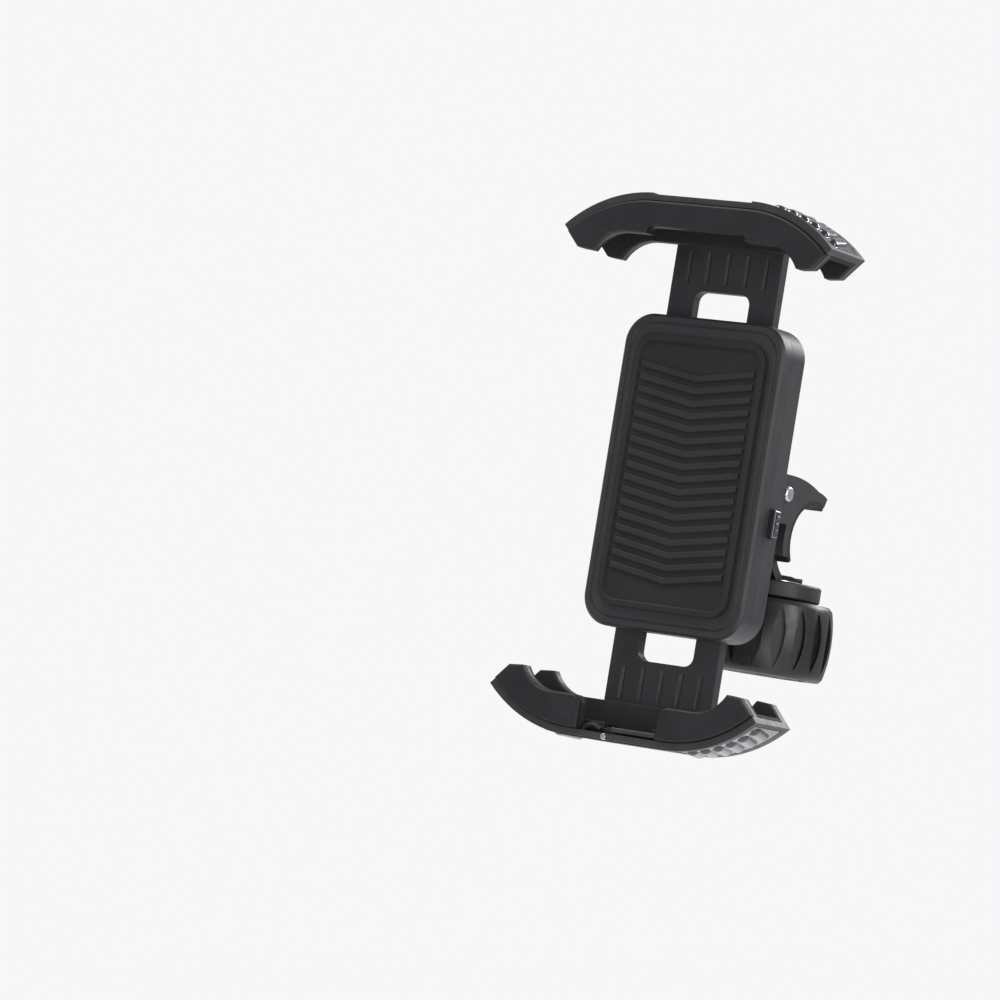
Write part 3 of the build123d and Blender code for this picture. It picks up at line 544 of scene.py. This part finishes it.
# ---------------- rubber pad behind the phone ----------------
PAD_CORNER = 6 * MM
PAD_FRAME = 1.9 * MM
PAD_RECESS = 0.75 * MM
CHEVRON_PITCH = 3.7 * MM
CHEVRON_HALF_W = 0.95 * MM
CHEVRON_SLOPE = 0.16
CHEVRON_SIDE = 3.0 * MM
CHEVRON_END = 16 * MM


def phone_pad():
    """A framed pad with rows of chevron bars that grip the phone's back."""
    low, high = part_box("front_pad")
    width, height = high.x - low.x, high.z - low.z
    mid_z = (low.z + high.z) / 2
    let_go()
    bpy.ops.mesh.primitive_cube_add(size=1, location=(0, (low.y + high.y) / 2, mid_z))
    pad = bpy.context.object
    pad.scale = (width, high.y - low.y, height)
    settle(pad)
    shape(pad)
    choose(pad, "EDGE", lambda e: abs(pad.data.vertices[e.vertices[0]].co.y
                                      - pad.data.vertices[e.vertices[1]].co.y) > 0.5 * MM)
    bpy.ops.mesh.bevel(offset=PAD_CORNER, segments=10, affect="EDGES")
    choose(pad, "FACE", lambda f: f.normal.y < -0.9)
    bpy.ops.mesh.inset(thickness=PAD_FRAME)
    bpy.ops.mesh.extrude_region_move(TRANSFORM_OT_translate={"value": (0, PAD_RECESS, 0)})
    let_go()
    round_edges(pad, 0.3 * MM, 3)
    bars = [pad]
    floor = low.y + PAD_RECESS
    half = width / 2 - CHEVRON_SIDE
    rows = int((height - CHEVRON_END) / CHEVRON_PITCH)
    front_corner = (-half, low.y + 0.12 * MM, mid_z - CHEVRON_HALF_W)
    back_corner = (half, floor + 0.3 * MM, mid_z + CHEVRON_HALF_W)
    model = bar(front_corner, back_corner, 0.4 * MM)
    shape(model)
    bpy.ops.mesh.select_all(action="SELECT")
    bpy.ops.mesh.bisect(plane_co=(0, 0, 0), plane_no=(1, 0, 0))
    let_go()
    for vertex in model.data.vertices:
        vertex.co.z += CHEVRON_SLOPE * (abs(vertex.co.x) - half / 2)
    for row in range(rows):
        bars.append(twin(model, (0, 0, (row - (rows - 1) / 2) * CHEVRON_PITCH)))
    bpy.data.objects.remove(model)
    pad = join(bars)
    finish_piece(pad, "front_pad_ribbed", "casing", FINISH["rubber"])
    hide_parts("front_pad")


phone_pad()


# ---------------- moulded details ----------------
COVER_GROOVE_R = 0.35 * MM
FLUTE_R = 0.8 * MM
FLUTE_FROM = 10.5 * MM
FLUTE_TO = 20 * MM
FLUTE_PLACES = (-13, -6.5, 0, 6.5, 13)
LINER_FLOOR = 1.5 * MM


def loop_line(width, height, corner, y, mid_z):
    """Points round a rounded rectangle in the (x, z) plane."""
    points = []
    for quarter in range(4):
        cx = (width / 2 - corner) * (1 if quarter in (0, 3) else -1)
        cz = (height / 2 - corner) * (1 if quarter in (0, 1) else -1)
        for step in range(9):
            a = pi / 2 * (quarter + step / 8)
            points.append((cx + corner * cos(a), y, mid_z + cz + corner * sin(a)))
    return points


def groove(piece, points, radius, closed=False):
    tool = wire(points, radius, "groove_tool", closed)
    recalculate(tool)
    cut(piece, tool)


def cover_groove(node, y, margin, corner):
    """A shadow line moulded round a cover's face."""
    low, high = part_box(node)
    width, height = high.x - low.x - 2 * margin, high.z - low.z - 2 * margin
    line = loop_line(width, height, corner, y, (low.z + high.z) / 2)
    groove(finished[node], line, COVER_GROOVE_R, True)
    even_shading(finished[node])


def arm_grooves(node):
    """Stiffening flutes along the jaw plate of an arm, front and back."""
    case_low, case_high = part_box("front_cover")
    sign = 1 if node == "upper_arm" else -1
    base = case_high.z if sign > 0 else case_low.z
    front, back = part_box("upper_jaw_shell")[1].y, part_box(node)[1].y
    for y in (front, back):
        for x in FLUTE_PLACES:
            line = [(x * MM, y, base + sign * FLUTE_FROM), (x * MM, y, base + sign * FLUTE_TO)]
            groove(finished[node], line, FLUTE_R)
    even_shading(finished[node])


cover_groove("front_cover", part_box("front_cover")[0].y, 2.6 * MM, 7 * MM)
cover_groove("back_cover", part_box("case_screws")[1].y + 0.15 * MM, 10.5 * MM, 5 * MM)
for node in ("upper_arm", "lower_arm"):
    arm_grooves(node)


def button_ribs():
    low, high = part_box("release_button")
    ribs = []
    for step in (-1, 0, 1):
        z = (low.z + high.z) / 2 + step * 2.0 * MM
        inner = (high.x - 0.5 * MM, low.y + 0.9 * MM, z - 0.4 * MM)
        outer = (high.x + 0.35 * MM, high.y - 0.9 * MM, z + 0.4 * MM)
        ribs.append(bar(inner, outer, 0.2 * MM))
    finish_piece(join(ribs), "button_ribs", "button", FINISH["gloss_black"])


def knob_rings():
    """Two turned rings and a raised hub on the knob's end cap."""
    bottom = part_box("knob_cap")[0].z
    rings = []
    for radius, size in ((11.2 * MM, 0.45 * MM), (7.2 * MM, 0.45 * MM), (3.0 * MM, 0.9 * MM)):
        let_go()
        bpy.ops.mesh.primitive_torus_add(location=(0, 0, bottom + size * 0.35), major_radius=radius,
                                         minor_radius=size, major_segments=72, minor_segments=12)
        rings.append(bpy.context.object)
        settle(rings[-1])
    # The rings take the knob's colour, painted shadow included.
    finish_piece(join(rings), "knob_cap_rings", "knob_set", FINISH["knob_nylon"], 60)


def liner_bars(side):
    """Cross bars moulded on the liner's floor, between its two bumps."""
    low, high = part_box(side + "_liner")
    sign = 1 if side == "upper" else -1
    outer = high.z if sign > 0 else low.z
    floor = outer - sign * LINER_FLOOR
    bars = []
    for step in range(-3, 4):
        x = step * 2.1 * MM
        ends = sorted((floor + sign * 0.3 * MM, floor - sign * 0.45 * MM))
        bars.append(bar((x - 0.5 * MM, low.y + 2.5 * MM, ends[0]), (x + 0.5 * MM, high.y - 2.5 * MM, ends[1]),
                        0.3 * MM))
    finish_piece(join(bars), side + "_liner_bars", side + "_jaw", FINISH["rubber"])


def port_details():
    """In the charging gap of the lower jaw: a curled tab, a small pin end and a ledge."""
    shell_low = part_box("lower_jaw_shell")[0]
    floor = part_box("lower_liner")[0].z + LINER_FLOOR
    front = shell_low.y
    tab_y = front + 2.4 * MM
    points = []
    for step in range(13):
        a = pi * (1.0 - step / 12 * 0.8)
        points.append((-9.2 * MM + 3.2 * MM * cos(a), tab_y, floor - 2.2 * MM + 2.6 * MM * sin(a)))
    tab = wire(points, 0.9 * MM, "port_tab")
    for vertex in tab.data.vertices:
        vertex.co.y = tab_y + (vertex.co.y - tab_y) * 1.7
    finish_piece(tab, "port_tab", "lower_jaw", FINISH["rubber"], 60)
    let_go()
    pin_place = (-4.2 * MM, front + 0.75 * MM, shell_low.z + 1.25 * MM)
    bpy.ops.mesh.primitive_cylinder_add(vertices=28, radius=0.95 * MM, depth=1.6 * MM,
                                        rotation=(pi / 2, 0, 0), location=pin_place)
    pin = bpy.context.object
    settle(pin)
    round_edges(pin, 0.25 * MM, 3)
    finish_piece(pin, "port_pin", "lower_jaw", FINISH["zinc_steel"])
    ledge_low = (-2.4 * MM, front + 0.6 * MM, floor - 0.9 * MM)
    ledge_high = (12.6 * MM, front + 3.6 * MM, floor + 0.5 * MM)
    ledge = bar(ledge_low, ledge_high, 0.3 * MM)
    finish_piece(ledge, "port_ledge", "lower_jaw", FINISH["body_nylon"])


button_ribs()
knob_rings()
for side in ("upper", "lower"):
    liner_bars(side)
port_details()


# ---------------- stage, light and camera ----------------
FLOOR_Z = cad_low.z - 0.24


def pale_floor():
    let_go()
    bpy.ops.mesh.primitive_circle_add(vertices=128, radius=7, fill_type="NGON", location=(0, 0, FLOOR_Z))
    floor = bpy.context.object
    floor.name = "pale_floor"
    material, tree, bsdf = new_finish("pale_floor")
    bsdf.inputs["Base Color"].default_value = (0.86, 0.86, 0.86, 1)
    bsdf.inputs["Roughness"].default_value = 0.9
    place = tree.nodes.new("ShaderNodeTexCoord")
    length = tree.nodes.new("ShaderNodeVectorMath")
    length.operation = "LENGTH"
    tree.links.new(place.outputs["Object"], length.inputs[0])
    fade = spread(tree, length.outputs["Value"], 0.25, 1.5, 1, 0)
    tree.links.new(fade, bsdf.inputs["Alpha"])
    floor.data.materials.append(material)


def soft_room():
    world = bpy.data.worlds.new("soft_room")
    bpy.context.scene.world = world
    world.use_nodes = True
    tree = world.node_tree
    seen = tree.nodes["Background"]
    seen.inputs["Color"].default_value = (0.93, 0.93, 0.93, 1)
    seen.inputs["Strength"].default_value = 1.0
    lit = tree.nodes.new("ShaderNodeBackground")
    lit.inputs["Color"].default_value = (0.9, 0.93, 1, 1)
    lit.inputs["Strength"].default_value = 0.5
    path = tree.nodes.new("ShaderNodeLightPath")
    mix = tree.nodes.new("ShaderNodeMixShader")
    tree.links.new(path.outputs["Is Camera Ray"], mix.inputs["Fac"])
    tree.links.new(lit.outputs["Background"], mix.inputs[1])
    tree.links.new(seen.outputs["Background"], mix.inputs[2])
    tree.links.new(mix.outputs["Shader"], tree.nodes["World Output"].inputs["Surface"])


def soft_box(name, place, size, power, aim=(0, -0.04, 0.01)):
    light = bpy.data.lights.new(name, "AREA")
    light.shape = "RECTANGLE"
    light.size = size[0]
    light.size_y = size[1]
    light.energy = power
    lamp = bpy.data.objects.new(name, light)
    bpy.context.scene.collection.objects.link(lamp)
    lamp.location = place
    lamp.rotation_euler = (Vector(aim) - Vector(place)).to_track_quat("-Z", "Y").to_euler()


def viewer():
    """The camera looks from the rider's right, a little below the middle, with the bar tipped."""
    azimuth, elevation, roll = radians(33), radians(-3), radians(9.2734)
    distance = 1.5
    aim = Vector((0, -72.2, 10.4)) * MM
    aside, above = 47.54 * MM, 7.78 * MM
    back = Vector((sin(azimuth) * cos(elevation), -cos(azimuth) * cos(elevation), sin(elevation)))
    level = Vector((cos(azimuth), sin(azimuth), 0))
    up = back.cross(level)
    right = cos(roll) * level + sin(roll) * up
    upward = -sin(roll) * level + cos(roll) * up
    camera = bpy.data.objects.new("viewer", bpy.data.cameras.new("viewer"))
    bpy.context.scene.collection.objects.link(camera)
    camera.data.lens = 188.15
    camera.data.sensor_width = 36
    camera.data.clip_start = 0.05
    turn = Matrix((right, upward, back)).transposed().to_4x4()
    place = aim - aside * right - above * upward + distance * back
    camera.matrix_world = Matrix.Translation(place) @ turn
    bpy.context.scene.camera = camera


pale_floor()
soft_room()
soft_box("key", (-0.6, -0.55, 1.4), (0.8, 0.8), 30)
soft_box("side", (1.5, -0.5, 0.5), (0.5, 1.2), 14)
soft_box("rim", (0.5, 1.2, 0.9), (1.0, 0.5), 18)
soft_box("underneath", (0.5, -0.9, -0.28), (0.8, 0.5), 5)
bpy.context.scene.view_settings.view_transform = "Standard"
viewer()
